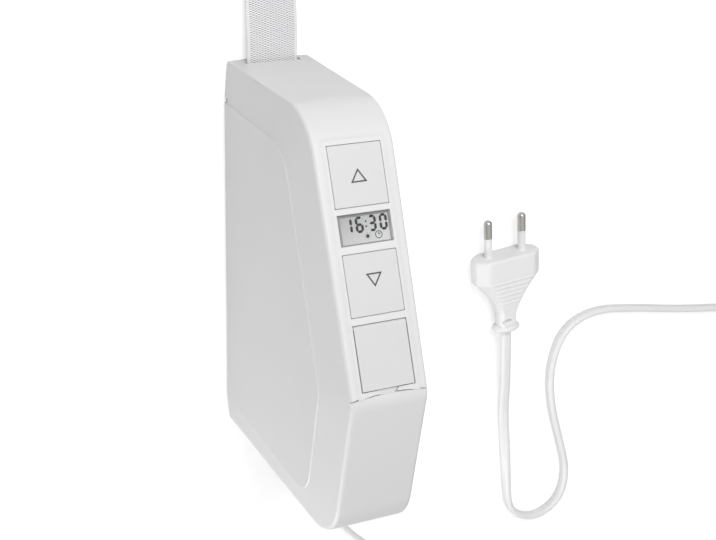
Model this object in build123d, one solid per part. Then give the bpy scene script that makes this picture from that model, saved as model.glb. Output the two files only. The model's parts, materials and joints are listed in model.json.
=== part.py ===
from build123d import *
import math
import os

# Electric belt winder for a roller shutter, in millimetres.
# X is the width (right as seen from the front), Y is up the wall, Z stands out from the wall.
# The origin is the centre of the wall bracket's screw pattern, on the wall face.

# housing outline, seen from the side
house_height = 167.2        # bottom to top
top_depth = 76.4            # wall to the corner of top and front
chin_depth = 120.2          # wall to the chin
chin_height = 63.7          # chin above the bottom
foot_depth = 108.6          # wall to the corner of bottom and lower front
back_gap = 0.5              # rear rim stands off the wall
top_fall = 3.0              # the top is this much lower at its front corner
foot_fall = 3.0             # the bottom is this much lower at its front corner
top_round = 26.0
chin_round = 10.0
foot_round = 20.0

# housing outline, seen from the front
side_half = 20.3            # half width over the raised side panels
edge_half_back = 18.2       # half width of the rim at the wall
edge_half_front = 15.9      # half width of the rim at the chin
crown = 0.7                 # top and bottom bow outwards
rim_round = 1.7

# raised side panel: its crease runs inside the outline
crease_top = 17.0
crease_front = 19.0
crease_lower = 19.0
crease_bottom = 13.0
panel_step = 0.35           # the panel stands this much above its border, with a slanting edge

# walls and general clearances
wall = 2.0
border_half = 14.2          # half width of the cavity behind the rim
panel_half = 17.9           # half width of the cavity behind the side panels
part_gap = 0.3              # between pieces that move past each other
seat_gap = 0.15             # between pieces that sit in each other
run_fit = 0.05              # shaft in its bearing, on the radius

# hinge between wall bracket and housing
hinge_inset = 3.0           # axis from the side and from the rear rim
corner_ease = 0.1           # the rear corners are rounded this much fuller than the inset
hinge_pin_r = 1.25
pin_past = 6.5              # hinge pin beyond the bracket at each end
hinge_rib = 6.3             # width of the corner rib that holds the pin
rib_height = 6.5

# wall bracket
plate_half = 10.8
bracket_margin = 15.5       # from the end of the housing to the end of the bracket
plate_t = 1.5
lug_top = 3.4
lug_ear_r = 2.4
bay_side = 0.6              # beside the plate
screw_pitch = 80.0
screw_hole_r = 2.25
screw_sink_r = 3.6
screw_sink = 0.7            # depth of the countersink
plate_gap = 0.7             # between the plate and the rear cover

# rear cover
cover_t = 3.4
case_screw_r = 1.4
case_screw_head_r = 2.6
case_screw_len = 11.0
case_screw_x = 10.4
case_screw_up = 6.0         # above the housing's bottom
screw_post = 6.4

# front panel on the housing: places are measured down the front from the point level with the top edge
panel_width = 25.8
panel_start = 14.0
panel_end = 110.4
panel_t = 2.0
panel_lip = 0.9             # how far the panel's rear flange reaches under the housing
flange_t = 1.0
key_width = 21.9
up_key_start = 16.4
key_height = 23.1
display_start = 42.0
display_height = 11.7
down_key_start = 56.8
flap_start = 83.0
flap_height = 24.5
key_gap = 0.22
key_flange = 0.7
key_flange_t = 0.9
key_travel = 0.7
key_stem_r = 2.0
key_corner = 0.5
lens_depth = 0.7
lens_t = 1.0
cell_gap = 0.1
glass_t = 1.4               # liquid crystal cell
chin_groove = 0.55          # shadow line under the front panel
groove_depth = 1.6
chin_arch = 1.5             # the line rises this much at the middle

# flap over the setting keys
flap_t = 1.5
flap_pin_r = 0.5
flap_pin_depth = 1.0        # pin axis under the front face
flap_pin_reach = 1.1
nail_width = 9.0
nail_reach = 2.2
nail_depth = 1.6
tray_depth = 5.0
tray_t = 1.0
set_key_r = 2.4
set_key_pitch = 9.0
set_key_proud = 1.2
set_key_travel = 0.5

# circuit board behind the front panel
board_depth = 9.0
board_t = 1.6
board_half = 13.4
board_start = 15.0
board_end = 108.0
rib_len = 6.0              # ribs that carry the board on the front panel
rib_t = 1.1
switch_size = 6.0

# mains board behind the lower front
mains_depth = 4.2
mains_half = 12.6
mains_start = 8.0
mains_end = 52.0
transformer_size = (22.0, 20.0, 12.0)
capacitor_r = 4.0
capacitor_len = 11.0

# belt
belt_width = 22.4           # a 23 mm belt, as it measures
belt_t = 1.2
belt_depth = 5.0            # centre of the belt from the wall, at the inlet
belt_lip = 4.0              # belt leaves the housing straight for this length
belt_stub = 50.0            # free belt above the housing
inlet_half = 12.1
inlet_front = 2.0
inlet_rear = 0.9
liner_t = 4.0

# reel with its winding
reel_depth = 52.0           # axle from the wall
reel_height = 51.0          # axle above the bottom
hub_r = 12.8
axle_r = 3.0
boss_wall = 3.0
winding_start = 14.0
winding_pitch = 1.72
winding_turns = 10
flange_r = 38.6
reel_flange_t = 1.1
gear_t = 2.0

# gear pair
gear_module = 1.3
reel_teeth = 60
pinion_teeth = 12
gear_slack = 0.35           # extra centre distance
pinion_bearing = 75.0       # direction of the pinion from the axle, degrees
pinion_shaft_r = 1.5

# drive
motor_r = 12.5
motor_len = 36.0
motor_depth = 52.0
gearbox_back = 46.0
gearbox_front = 80.0
gearbox_height = 24.0
gearbox_left = -12.0
gearbox_right = 11.3

# guide roller
roller_r = 4.0
roller_axle_r = 1.5
roller_drop = 11.0          # roller centre below the top
roller_half = 12.0

# cable entry and lead
gland_x = 2.2
gland_depth = 8.0
gland_len = 17.5
gland_r = 4.0
gland_tip_r = 3.0
gland_flange_r = 4.6
gland_rings = 4
gland_plain = 5.0           # smooth length of the sleeve, both ends together
ring_groove = 0.4
gland_flange_t = 1.6
cord_d = 5.4
coil_gap = 0.55             # between turns, sideways and between the layers
coil_x = 318.0
coil_y = -113.0
coil_outer_r = 35.4
coil_half_turns = 3         # half turns that spiral in, and then out again
end_gap = 0.06              # between two stretches of the lead
coil_throat = 1.2           # the climbing half turn lies this much further in
tie_width = 4.0
tie_t = 0.8
tie_gap = 0.1
tie_side_gap = 0.45

# plug
plug_x = 124.6              # where the lead leaves the plug
plug_y = -60.5
plug_bearing = 95.4         # direction of the pins, degrees from X towards Y
plug_width = 35.3
plug_t = 13.7
plug_side = 5.5             # thickness at the side edges
plug_bevel = 5.0            # width of the slanting faces
plug_head = 12.0
plug_taper = 19.5
plug_neck = 6.0
neck_width = 9.6
neck_t = 8.6
collar_half = 7.2
collar_half_t = 5.2
collar_len = 3.5
grip_count = 6
grip_pitch = 2.4
grip_t = 0.9
grip_proud = 0.35
pin_r = 2.0
pin_core_r = 1.5
pin_len = 19.0
pin_pitch = 18.6
pin_root = 3.0
sleeve_len = 10.0
sleeve_r = 1.9

# worked out from the sizes above
half_height = house_height / 2
top_y = half_height
bottom_y = -half_height
chin_y = bottom_y + chin_height
lean = math.atan2(chin_depth - top_depth, top_y - chin_y)
tuck = math.atan2(chin_depth - foot_depth, chin_height)
hinge_x = -(side_half - hinge_inset)
hinge_z = back_gap + hinge_inset
reel_y = bottom_y + reel_height
cover_z = back_gap + cover_t
plate_len = house_height - 2 * bracket_margin
hinge_pin_len = plate_len + 2 * pin_past
plug_mid = plug_t / 2 + grip_proud

front = Plane(origin=(0, top_y, top_depth), x_dir=(1, 0, 0), z_dir=(0, math.sin(lean), math.cos(lean)))
lower = Plane(origin=(0, bottom_y, foot_depth), x_dir=(1, 0, 0), z_dir=(0, -math.sin(tuck), math.cos(tuck)))


# small helpers

def slab(x, y, z):
    """A box from its ranges along X, Y and Z."""
    sizes = [r[1] - r[0] for r in (x, y, z)]
    return Pos(*[(r[0] + r[1]) / 2 for r in (x, y, z)]) * Box(*sizes)


def on_front(x, down, depth):
    """A box on the front face: down from the level of the top edge, depth below the surface."""
    return front * slab(x, (-down[1], -down[0]), (-depth[1], -depth[0]))


def on_lower(x, rise, depth):
    """A box on the lower front: rise from the bottom corner, depth below the surface."""
    return lower * slab(x, rise, (-depth[1], -depth[0]))


def rod_x(y, z, radius, x):
    return Pos((x[0] + x[1]) / 2, y, z) * Rot(0, 90, 0) * Cylinder(radius, x[1] - x[0])


def rod_y(x, z, radius, y):
    return Pos(x, (y[0] + y[1]) / 2, z) * Rot(90, 0, 0) * Cylinder(radius, y[1] - y[0])


def rod_front(x, down, radius, depth):
    middle = -(depth[0] + depth[1]) / 2
    return front * Pos(x, -down, middle) * Cylinder(radius, depth[1] - depth[0])


def outline(top, face, low, bottom, back):
    """Corners of the side view, with each edge moved inwards by its own amount."""
    over, under = top_fall / top_depth, foot_fall / foot_depth
    high = top_y - top * math.hypot(1, over)
    deep = bottom_y + bottom * math.hypot(1, under)
    lines = [(1, over, high),
             (math.sin(lean), math.cos(lean), math.sin(lean) * top_y + math.cos(lean) * top_depth - face),
             (-math.sin(tuck), math.cos(tuck), -math.sin(tuck) * bottom_y + math.cos(tuck) * foot_depth - low),
             (-1, -under, -deep)]
    corners = [(deep - under * back, back), (high - over * back, back)]
    for (a, b, c), (d, e, f) in zip(lines, lines[1:]):
        det = a * e - b * d
        corners.append(((c * e - b * f) / det, (a * f - c * d) / det))
    return corners


def side_face(plane, insets, back, shrink=0.0):
    """The side view as a face, with its three front corners rounded."""
    radii = [0, 0, top_round - shrink, chin_round - shrink * 0.3, max(foot_round - shrink, 1)]
    wire = FilletPolyline(*outline(*insets, back), radius=radii, close=True)
    return plane * make_face(wire)


def rim_half(z):
    """Half width of the housing's rim at a depth from the wall."""
    return edge_half_back - (edge_half_back - edge_half_front) * z / chin_depth


# housing

def housing_body():
    """Outer form: creased side panels, tapering rim, rounded edges, bowed ends."""
    slope = (edge_half_back - edge_half_front) / chin_depth
    rims = []
    steps = []
    panels = []
    for hand in (-1, 1):
        rim_plane = Plane(origin=(hand * edge_half_back, 0, 0), x_dir=(0, 1, 0), z_dir=(1, 0, hand * slope))
        panel_plane = Plane(origin=(hand * side_half, 0, 0), x_dir=(0, 1, 0), z_dir=(1, 0, 0))
        rims.append(side_face(rim_plane, (0, 0, 0, 0), back_gap))
        step_plane = Plane(origin=(hand * (side_half - panel_step), 0, 0), x_dir=(0, 1, 0), z_dir=(1, 0, 0))
        insets = (crease_top, crease_front, crease_lower, crease_bottom)
        steps.append(side_face(step_plane, insets, back_gap, 8))
        panels.append(side_face(panel_plane, [size + panel_step for size in insets], back_gap, 8 + panel_step))
    body = loft([panels[0], steps[0], rims[0], rims[1], steps[1], panels[1]], ruled=True)
    rim_edges = [edge for edge in body.edges()
                 if abs(abs(edge.center().X) - rim_half(edge.center().Z)) < 0.25
                 and edge.center().Z > back_gap + 1]
    body = fillet(rim_edges, rim_round)
    body = body & loft([bowed_section(0), bowed_section(chin_depth + 5)], ruled=True)
    return body - hinge_corner(-1) - hinge_corner(1)


def bowed_section(z):
    """Section across the housing at a depth from the wall, with its bowed top and bottom."""
    half = side_half + 1
    top = top_y - top_fall * z / top_depth
    foot = bottom_y - foot_fall * z / foot_depth
    over = ThreePointArc((-half, top - crown), (0, top), (half, top - crown))
    under = ThreePointArc((half, foot + crown), (0, foot), (-half, foot + crown))
    return Pos(0, 0, z) * make_face(over + Line(over @ 1, under @ 0) + under + Line(under @ 1, over @ 0))


def front_flat():
    """Distance down the front at which the top's rounding ends."""
    over = math.atan2(top_fall, top_depth)
    corner = top_depth * math.sin(over) / math.cos(over + lean)
    return corner + top_round * math.tan((math.pi / 2 - lean - over) / 2)


def hinge_corner(hand):
    """What is cut off a rear corner to round it about the hinge axis."""
    x = hand * (side_half - hinge_inset)
    reach = hand * (side_half + 1)
    block = slab(sorted((x, reach)), (bottom_y - 1, top_y + 1), (back_gap - 1, hinge_z))
    return block - rod_y(x, hinge_z + corner_ease / 2, hinge_inset + corner_ease, (bottom_y - 2, top_y + 2))


def cavity():
    """Space inside the housing, open to the wall."""
    border = side_face(Plane.YZ, (wall, wall, wall, wall), back_gap - 2, wall)
    space = extrude(border, border_half, both=True)
    insets = (crease_top + wall, crease_front + wall, crease_lower + wall, crease_bottom + wall)
    pocket = side_face(Plane.YZ, insets, back_gap - 2, 8)
    space += extrude(pocket, panel_half, both=True)
    rib_x = -(side_half - hinge_rib)
    rib = slab((-side_half, rib_x), (bottom_y, top_y), (back_gap - 3, back_gap + rib_height))
    return space - rib


def lug_slots():
    """Slots that let the bracket's end lugs reach the hinge pin."""
    slots = []
    for hand in (-1, 1):
        outer = hand * (plate_len / 2 + part_gap)
        inner = hand * (plate_len / 2 - plate_t - part_gap)
        y = tuple(sorted((outer, inner)))
        ear = lug_ear_r + part_gap
        slots.append(rod_y(hinge_x, hinge_z, ear, y))
        slots.append(slab((hinge_x - ear, plate_half + bay_side), y, (back_gap - 2, hinge_z)))
        slots.append(slab((hinge_x, -plate_half), y, (hinge_z - 0.5, hinge_z + ear)))
    return slots


def chin_line():
    """Shadow groove that arches under the front panel."""
    half = edge_half_back
    foot = -panel_end
    upper = ThreePointArc((-half, foot), (0, foot + chin_arch), (half, foot))
    under = ThreePointArc((half, foot - chin_groove), (0, foot + chin_arch - chin_groove), (-half, foot - chin_groove))
    sides = Line(upper @ 1, under @ 0) + Line(under @ 1, upper @ 0)
    return front * extrude(make_face(upper + under + sides), -groove_depth)


def panel_outline(grow, depth):
    """Front panel's outline with its arched lower edge, as a plate below the surface."""
    half = panel_width / 2 + grow
    start = panel_start - grow
    foot = -panel_end - grow
    arch = ThreePointArc((half, foot), (0, foot + chin_arch), (-half, foot))
    sides = Line((-half, foot), (-half, -start)) + Line((-half, -start), (half, -start)) + Line((half, -start), (half, foot))
    plate = extrude(make_face(arch + sides), -(depth[1] - depth[0]))
    return front * Pos(0, 0, -depth[0]) * plate


def housing_hood():
    """Deep moulded tub with bearings for the axles and posts for the rear cover."""
    hood = form - cavity()
    hood -= panel_outline(0, (-2, panel_t + 2))
    hood -= chin_line()
    left = -belt_width / 2 - reel_flange_t - 2 * part_gap
    right = belt_width / 2 + gear_t + 2 * part_gap
    hood += rod_x(reel_y, reel_depth, axle_r + boss_wall, (-panel_half - 0.5, left))
    hood += rod_x(reel_y, reel_depth, axle_r + boss_wall, (right, panel_half + 0.5))
    hood -= rod_x(reel_y, reel_depth, axle_r + run_fit, (-panel_half - 0.3, panel_half + 0.3))
    roller_y, roller_z = roller_centre()
    for hand in (-1, 1):
        inner = hand * (roller_half + part_gap)
        hood += rod_x(roller_y, roller_z, roller_axle_r + 1.6, sorted((inner, hand * (border_half + 0.5))))
    hood -= rod_x(roller_y, roller_z, roller_axle_r + run_fit, (-border_half, border_half))
    hood += gearbox_posts()
    for rib in mains_ribs():
        hood += rib
    post_y = (bottom_y + wall / 2, bottom_y + case_screw_up + screw_post / 2)
    for hand in (-1, 1):
        x = hand * case_screw_x
        hood += slab((x - screw_post / 2, x + screw_post / 2), post_y,
                     (cover_z + seat_gap, back_gap + case_screw_len + 2))
        hood -= screw_shape(x, bottom_y + case_screw_up, seat_gap * 0.3)
    pin_bore = rod_y(hinge_x, hinge_z, hinge_pin_r + run_fit, (-hinge_pin_len / 2 - 0.5, hinge_pin_len / 2 + 0.5))
    hood -= pin_bore
    for slot in lug_slots():
        hood -= slot
    hood -= inlet_slot(seat_gap)
    hood -= rod_y(gland_x, gland_depth, gland_r + seat_gap, (bottom_y - 1, bottom_y + wall + 1))
    return hood


def inlet_slot(grow):
    """Where the belt passes through the top wall."""
    return slab((-inlet_half - grow, inlet_half + grow), (top_y - wall - 1, top_y + 1),
                (belt_depth - belt_t / 2 - inlet_rear, belt_depth + belt_t / 2 + inlet_front + grow))


def screw_shape(x, y, grow):
    """One case screw, head towards the wall."""
    head = Pos(x, y, back_gap + 1.8) * Cylinder(case_screw_head_r + grow, 2.0)
    shank = Pos(x, y, back_gap + 2 + case_screw_len / 2 - 1) * Cylinder(case_screw_r + grow, case_screw_len)
    return head + shank


def rear_cover():
    """Flat cover with a bay for the wall bracket."""
    left = -(side_half - hinge_rib) + seat_gap
    reach = half_height - wall - crown - 0.3
    cover = slab((left, border_half - seat_gap), (-reach, reach), (back_gap, cover_z))
    wing = outline(crease_top + wall, 0, 0, crease_bottom + wall, 0)
    cover += slab((0, panel_half - seat_gap), (wing[0][0] + seat_gap, wing[1][0] - seat_gap), (back_gap, cover_z))
    bay_y = plate_len / 2 + part_gap
    cover -= slab((left - 1, plate_half + bay_side), (-bay_y, bay_y), (back_gap - 1, plate_t + plate_gap))
    for slot in lug_slots():
        cover -= slot
    for hand in (-1, 1):
        cover -= screw_shape(hand * case_screw_x, bottom_y + case_screw_up, seat_gap)
        cover -= Pos(hand * case_screw_x, bottom_y + case_screw_up, back_gap + 0.4) * Cylinder(
            case_screw_head_r + seat_gap, 1.0)
    return cover


def case_screws():
    screws = [screw_shape(hand * case_screw_x, bottom_y + case_screw_up, 0) for hand in (-1, 1)]
    return Compound(children=screws)


# wall bracket

def wall_bracket():
    """Steel plate with countersunk screw holes and an end lug at each end for the hinge pin."""
    bracket = slab((-plate_half, plate_half), (-plate_len / 2, plate_len / 2), (0, plate_t))
    for hand in (-1, 1):
        y = tuple(sorted((hand * plate_len / 2, hand * (plate_len / 2 - plate_t))))
        lug = Polyline((hinge_x, hinge_z + lug_ear_r), (-plate_half, lug_top), (plate_half, lug_top), (plate_half, 0),
                       (-plate_half, 0), (hinge_x, hinge_z - lug_ear_r), close=True)
        plate = extrude(Plane(origin=(0, y[1], 0), x_dir=(1, 0, 0), z_dir=(0, -1, 0)) * make_face(lug), plate_t)
        bracket += plate + rod_y(hinge_x, hinge_z, lug_ear_r, y)
    bracket -= rod_y(hinge_x, hinge_z, hinge_pin_r, (-plate_len, plate_len))
    for hand in (-1, 1):
        bracket -= Pos(0, hand * screw_pitch / 2, plate_t / 2) * Cylinder(screw_hole_r, plate_t * 2)
        sink = Cone(screw_hole_r, screw_sink_r, screw_sink)
        bracket -= Pos(0, hand * screw_pitch / 2, plate_t - screw_sink / 2) * sink
    return bracket


def hinge_pin():
    return rod_y(hinge_x, hinge_z, hinge_pin_r, (-hinge_pin_len / 2, hinge_pin_len / 2))


# front panel and keys

def window(start, height, grow, depth):
    """Opening in the front panel for a key, the display or the flap."""
    half = key_width / 2 + grow
    return on_front((-half, half), (start - grow, start + height + grow), (-1, depth))


def front_panel():
    """Flush panel with openings, a rear flange, the well behind the flap and ribs for the board."""
    inner = key_width / 2 + key_flange + key_gap + part_gap
    panel = panel_outline(0, (-1, panel_t)) & form
    rim = panel_outline(panel_lip, (panel_t + run_fit, panel_t + flange_t))
    rim += panel_outline(0, (panel_t, panel_t + flange_t))
    rim -= on_front((-inner, inner), (panel_start + flange_t, panel_end - 3), (panel_t, panel_t + 2 * flange_t))
    panel += rim & on_front((-side_half, side_half), (front_flat(), panel_end - chin_arch), (0, board_depth))
    for start, height in ((up_key_start, key_height), (down_key_start, key_height)):
        panel -= window(start, height, key_gap, panel_t + 1)
    panel -= window(display_start, display_height, 0, panel_t + 1)
    half = key_width / 2 + key_gap
    end = flap_start + flap_height
    panel += on_front((-half - tray_t, half + tray_t), (flap_start - key_gap - tray_t, end + key_gap + tray_t),
                      (panel_t, tray_depth))
    panel -= window(flap_start, flap_height, key_gap, tray_depth - tray_t)
    for x, down in set_key_places():
        panel -= rod_front(x, down, set_key_r + key_gap, (0, tray_depth + 1))
    panel -= flap_pin(run_fit, flap_pin_reach + 0.2)
    panel -= nail_scoop()
    for down in (up_key_start + 6, display_start + display_height / 2, down_key_start + 16):
        for x in ((-board_half, -board_half + rib_t), (board_half - rib_t, board_half)):
            panel += on_front(x, (down - rib_len / 2, down + rib_len / 2), (panel_t, board_depth))
    return panel


def set_key_places():
    middle = flap_start + flap_height / 2
    return [(x * set_key_pitch / 2, middle + y * set_key_pitch / 2) for y in (-1, 1) for x in (-1, 1)]


def flap_pin(grow, reach):
    half = key_width / 2 - key_gap + reach
    axis = front * Pos(0, -(flap_start + flap_pin_depth), -flap_pin_depth) * Rot(0, 90, 0)
    return axis * Cylinder(flap_pin_r + grow, 2 * half)


def nail_scoop():
    """Finger-nail recess under the flap's lower edge."""
    edge = flap_start + flap_height
    shape = make_face(Polyline((-nail_width / 2, -edge), (nail_width / 2, -edge), (nail_width * 0.28, -edge - nail_reach),
                               (-nail_width * 0.28, -edge - nail_reach), close=True))
    ramp = front * extrude(shape, -nail_depth)
    return ramp


def key_cap(start):
    """Key with a hidden retaining flange and a stem towards its switch."""
    half = key_width / 2
    cap = on_front((-half, half), (start, start + key_height), (-1, panel_t + 0.5)) & form
    corners = [e for e in cap.edges() if abs(abs(e.center().X) - half) < 0.01 and e.length < 3]
    cap = fillet(corners, key_corner)
    grow = key_flange + key_gap
    low = panel_t + part_gap
    cap += on_front((-half - key_flange, half + key_flange), (start - grow, start + key_height + grow),
                    (low, low + key_flange_t))
    middle = start + key_height / 2
    return cap + rod_front(0, middle, key_stem_r, (low, switch_top() - key_travel - 0.25))


def switch_top():
    """Depth of the tops of the key switches."""
    return board_depth - 3.5


def service_flap():
    """Thin door, rounded about its pins, which are moulded on."""
    half = key_width / 2 - key_gap
    axis_down = flap_start + flap_pin_depth
    door = on_front((-half, half), (axis_down, flap_start + flap_height - 0.1), (0, flap_t))
    knuckle = front * Pos(0, -axis_down, -flap_pin_depth) * Rot(0, 90, 0) * Cylinder(flap_pin_depth, 2 * half)
    door += knuckle & on_front((-half, half), (flap_start - 1, axis_down + 1), (-1, flap_t))
    return door + flap_pin(0, flap_pin_reach)


def setting_key(x, down):
    """Small round key in the well behind the flap."""
    floor_top = tray_depth - tray_t
    stem = rod_front(x, down, set_key_r, (floor_top - set_key_proud, tray_depth + part_gap + 0.5))
    skirt = rod_front(x, down, set_key_r + 0.7, (tray_depth + part_gap, tray_depth + part_gap + 0.7))
    return stem + skirt


def display_lens():
    half = key_width / 2 - 0.05
    down = (display_start + 0.05, display_start + display_height - 0.05)
    return on_front((-half, half), down, (lens_depth, lens_depth + lens_t))


def display_cell():
    depth = panel_t + cell_gap
    half = key_width / 2 + 0.4
    return on_front((-half, half), (display_start - 0.5, display_start + display_height + 0.5), (depth, depth + glass_t))


def display_holder():
    """Frame that carries the display cell on the circuit board."""
    depth = panel_t + cell_gap + glass_t
    half = key_width / 2
    block = on_front((-half, half), (display_start, display_start + display_height), (depth, board_depth))
    return block - on_front((-half + 1.5, half - 1.5), (display_start + 1.5, display_start + display_height - 1.5),
                            (depth + 1, board_depth + 1))


def control_board():
    board = on_front((-board_half, board_half), (board_start, board_end), (board_depth, board_depth + board_t))
    return board


def key_switches():
    """Tact switches under the two big keys and the setting keys."""
    pieces = []
    for start in (up_key_start, down_key_start):
        down = start + key_height / 2
        body = on_front((-switch_size / 2, switch_size / 2), (down - switch_size / 2, down + switch_size / 2),
                        (switch_top() + 0.8, board_depth))
        pieces.append(body + rod_front(0, down, 1.7, (switch_top(), board_depth)))
    low = tray_depth + part_gap + 0.7 + set_key_travel + 0.25
    for x, down in set_key_places():
        body = on_front((x - 2.2, x + 2.2), (down - 2.2, down + 2.2), (low + 0.4, board_depth))
        pieces.append(body + rod_front(x, down, 1.2, (low, board_depth)))
    return Compound(children=pieces)


# mains board

def mains_board():
    return on_lower((-mains_half, mains_half), (mains_start, mains_end), (mains_depth, mains_depth + board_t))


def mains_ribs():
    """Ribs inside the lower front that carry the mains board."""
    ribs = []
    for up in (mains_start + rib_len, mains_end - rib_len):
        for x in ((-mains_half, -mains_half + rib_t), (mains_half - rib_t, mains_half)):
            ribs.append(on_lower(x, (up - rib_len / 2, up + rib_len / 2), (wall / 2, mains_depth)))
    return ribs


def mains_parts():
    """Transformer block and two capacitors on the mains board."""
    width, length, height = transformer_size
    base = mains_depth + board_t
    block = on_lower((-width / 2, width / 2), (mains_end - length - 2, mains_end - 2), (base, base + height))
    block = chamfer(block.edges().filter_by(Axis.X), 1.2)
    pieces = [block]
    for hand in (-1, 1):
        can = Cylinder(capacitor_r, capacitor_len)
        pieces.append(lower * Pos(hand * 6.5, mains_start + 7, -base - capacitor_len / 2) * can)
    return Compound(children=pieces)


# drive

def gear_blank(teeth, module, thin):
    """Gear outline with straight-sided teeth; thin is taken off each flank."""
    pitch_r = teeth * module / 2
    root_r = pitch_r - 1.2 * module
    tip_r = pitch_r + 0.85 * module
    step = 2 * math.pi / teeth
    points = []
    for i in range(teeth):
        for radius, share in ((root_r, -0.34), (tip_r, -0.13), (tip_r, 0.13), (root_r, 0.34)):
            side = math.copysign(thin / radius, share)
            angle = i * step + share * step - side
            points.append((radius * math.cos(angle), radius * math.sin(angle)))
    return make_face(Polyline(*points, close=True))


def pinion_centre():
    reach = gear_module * (reel_teeth + pinion_teeth) / 2 + gear_slack
    turn = math.radians(pinion_bearing)
    return reel_y + reach * math.sin(turn), reel_depth + reach * math.cos(turn)


def turned_gear(y, z, face, phase, x):
    """A gear face turned so that a tooth points at phase (degrees from Z towards Y)."""
    plane = Plane(origin=(x[0], y, z), x_dir=(0, math.sin(math.radians(phase)), math.cos(math.radians(phase))),
                  z_dir=(1, 0, 0))
    return extrude(plane * face, x[1] - x[0])


def reel_gear():
    """Right flange of the reel, toothed round its rim."""
    x = (belt_width / 2 + part_gap, belt_width / 2 + part_gap + gear_t)
    gear = turned_gear(reel_y, reel_depth, gear_blank(reel_teeth, gear_module, 0.08), pinion_bearing, x)
    gear -= rod_x(reel_y, reel_depth, hub_r - 3 + seat_gap * 0.2, (x[0] - 1, x[1] + 1))
    for i in range(6):
        turn = math.radians(60 * i)
        gear -= rod_x(reel_y + 25.5 * math.sin(turn), reel_depth + 25.5 * math.cos(turn), 6.5, (x[0] - 1, x[1] + 1))
    return gear


def reel_core():
    """Hub with the left flange moulded on."""
    left = -belt_width / 2 - part_gap
    core = rod_x(reel_y, reel_depth, flange_r, (left - reel_flange_t, left))
    core += rod_x(reel_y, reel_depth, hub_r, (left - reel_flange_t, belt_width / 2 + part_gap))
    core += rod_x(reel_y, reel_depth, hub_r - 3, (0, belt_width / 2 + part_gap + gear_t))
    return core - rod_x(reel_y, reel_depth, axle_r + run_fit, (-side_half, side_half))


def reel_axle():
    return rod_x(reel_y, reel_depth, axle_r, (-panel_half - 0.2, panel_half + 0.2))


def winding_sweep():
    """Largest radius that the turning winding reaches."""
    return winding_start + winding_pitch * (winding_turns + 0.25) + belt_t / 2


def belt_winding():
    """Belt on the reel: half turns on two centres, each half a pitch wider than the one before."""
    inner = []
    outer = []
    shift = winding_pitch / 4
    for i in range(2 * winding_turns):
        hand = 1 if i % 2 == 0 else -1
        radius = winding_start + winding_pitch / 2 * (i + 0.5)
        centre = hand * shift
        for path, r in ((inner, radius - belt_t / 2), (outer, radius + belt_t / 2)):
            ends = ((centre - hand * r, 0), (centre, hand * r), (centre + hand * r, 0))
            path.append(ThreePointArc(*ends))
    edges = inner + outer + [Line(inner[0] @ 0, outer[0] @ 0), Line(inner[-1] @ 1, outer[-1] @ 1)]
    band = Plane(origin=(0, reel_y, reel_depth), x_dir=(0, 1, 0), z_dir=(1, 0, 0)) * make_face(edges)
    gap = winding_pitch - belt_t
    print("winding: least gap between turns", round(gap, 2))
    return extrude(band, belt_width / 2, both=True)


def drive_pinion():
    y, z = pinion_centre()
    x = (belt_width / 2 + part_gap, belt_width / 2 + part_gap + gear_t)
    phase = pinion_bearing + 180 + 180 / pinion_teeth
    pinion = turned_gear(y, z, gear_blank(pinion_teeth, gear_module, 0.08), phase, x)
    return pinion + rod_x(y, z, pinion_shaft_r, (gearbox_right - 3, x[0]))


def gearbox():
    """Worm gear housing under the motor."""
    y, z = pinion_centre()
    low = reel_y + flange_r + gear_module * 1.3 + 1.2
    box = slab((gearbox_left, gearbox_right), (low, low + gearbox_height), (gearbox_back, gearbox_front))
    box = chamfer(box.edges().filter_by(Axis.X), 1.5)
    return box - rod_x(y, z, pinion_shaft_r + run_fit, (gearbox_right - 3.5, gearbox_right + 1))


def gearbox_top():
    return reel_y + flange_r + gear_module * 1.3 + 1.2 + gearbox_height


def gearbox_posts():
    """Posts on the housing walls that hold the gearbox."""
    posts = None
    for up in (8, 18):
        y = gearbox_top() - up
        for z in (gearbox_back + 5, gearbox_front - 5):
            left = rod_x(y, z, 2.5, (-panel_half - 0.5, gearbox_left - seat_gap))
            posts = left if posts is None else posts + left
    return posts


def drive_motor():
    """Can motor standing on the gearbox, with its bearing boss."""
    base = gearbox_top() + seat_gap
    can = rod_y(0, motor_depth, motor_r, (base, base + motor_len))
    can = chamfer(can.edges().filter_by(GeomType.CIRCLE), 1.0)
    return can + rod_y(0, motor_depth, 4.0, (base + motor_len, base + motor_len + 2))


# belt path

def roller_centre():
    z = belt_depth + belt_t / 2 + part_gap + roller_r
    return top_y - roller_drop, z


def belt_turn():
    """Angle of the inner belt run and the distance of its line from the axle."""
    y, z = roller_centre()
    wrap_r = roller_r + part_gap + belt_t / 2
    line_r = winding_sweep() + 0.4 + belt_t / 2
    across = reel_depth - z
    along = y - reel_y
    reach = math.hypot(across, along)
    return math.acos((line_r - wrap_r) / reach) - math.atan2(along, across), wrap_r, line_r


def belt_free():
    """Free belt: down from above, through the inlet, round the roller and on to the winding."""
    turn, wrap_r, line_r = belt_turn()
    y, z = roller_centre()
    start = (y - wrap_r * math.sin(turn), z - wrap_r * math.cos(turn))
    middle = (y - wrap_r * math.sin(turn / 2), z - wrap_r * math.cos(turn / 2))
    end = (reel_y - line_r * math.sin(turn), reel_depth - line_r * math.cos(turn))
    lip = (top_y + belt_lip, belt_depth)
    free_end = (top_y + belt_stub, belt_t / 2 + 0.05)
    half_way = ((lip[0] + free_end[0]) / 2, (lip[1] + free_end[1]) / 2)
    path = Line(end, start) + ThreePointArc(start, middle, (y, belt_depth)) + Line((y, belt_depth), lip)
    sag = TangentArc(lip, half_way, tangent=(1, 0))
    path += sag + TangentArc(half_way, free_end, tangent=sag % 1)
    return extrude(Plane.YZ * trace(path, belt_t), belt_width / 2, both=True)


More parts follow.
